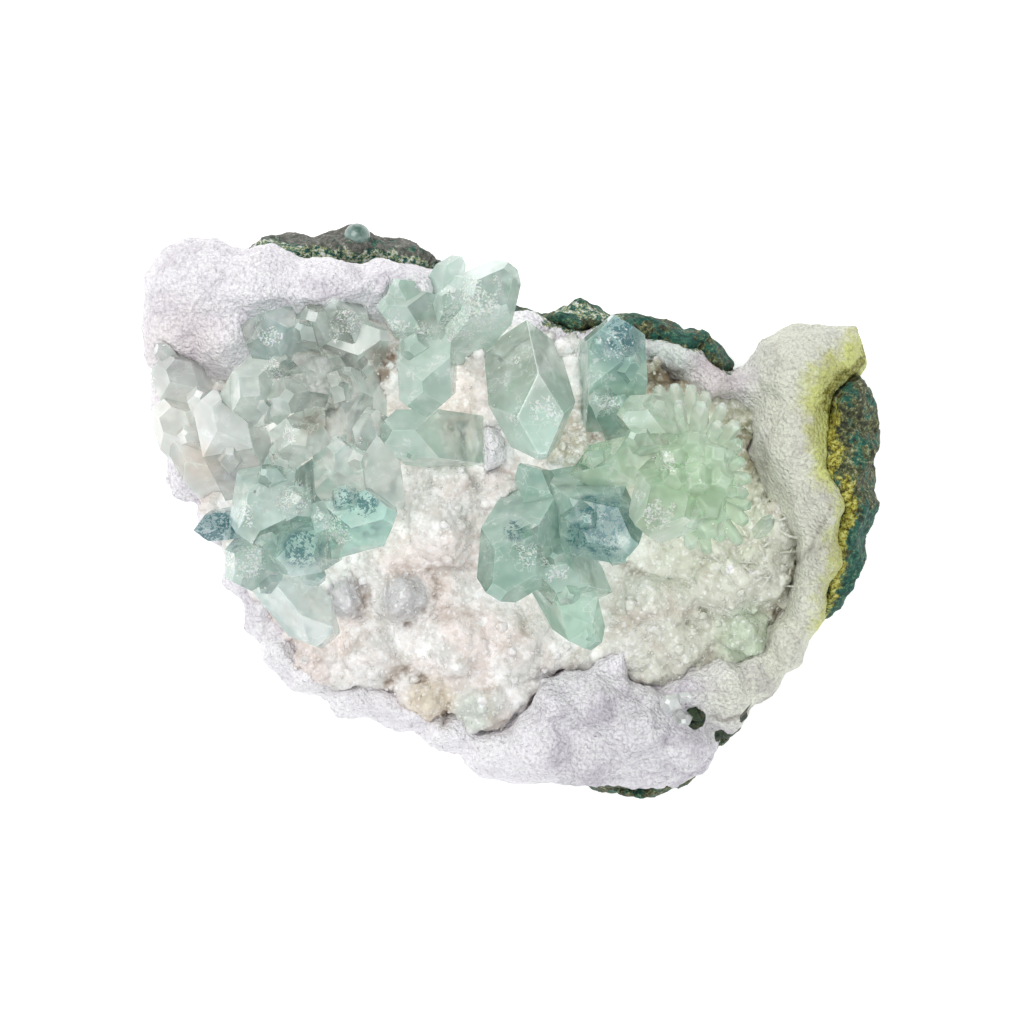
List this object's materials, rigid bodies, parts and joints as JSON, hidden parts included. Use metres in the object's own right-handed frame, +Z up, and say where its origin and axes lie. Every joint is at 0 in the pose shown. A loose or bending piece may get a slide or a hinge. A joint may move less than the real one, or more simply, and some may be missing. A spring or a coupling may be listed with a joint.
{
  "type": "apophyllite specimen",
  "caption": "Green apophyllite crystals on a quartz lined hollow of white chalcedony, on a piece of basalt that lies on its flat back.",
  "frame": {"origin": "middle of the object's box, on the surface that the basalt's flat back rests on", "axes": "+X along the longest side, towards the end with the basalt edge; +Y towards the crystals that stand over the upper edge; +Z up, away from the flat back"},
  "size_m": [0.122, 0.0959, 0.0366],
  "materials": {
    "basalt": "rough broken dark rock with green and yellow-green stains",
    "chalcedony": "white granular crust, sugary",
    "quartz": "fine glinting quartz crystals, off-white to beige",
    "apophyllite": "clear to milky mint green crystal, bright faces"
  },
  "bodies": {
    "root": {"basalt_matrix": "basalt", "chalcedony_crust": "chalcedony", "quartz_druse": "quartz", "apophyllite_upper_left": "apophyllite", "apophyllite_left_edge": "apophyllite", "apophyllite_top": "apophyllite", "apophyllite_centre_prism": "apophyllite", "apophyllite_lower_left": "apophyllite", "apophyllite_middle": "apophyllite", "apophyllite_upper_right": "apophyllite", "apophyllite_spray": "apophyllite", "apophyllite_small_prism": "apophyllite"}
  },
  "joints": []
}
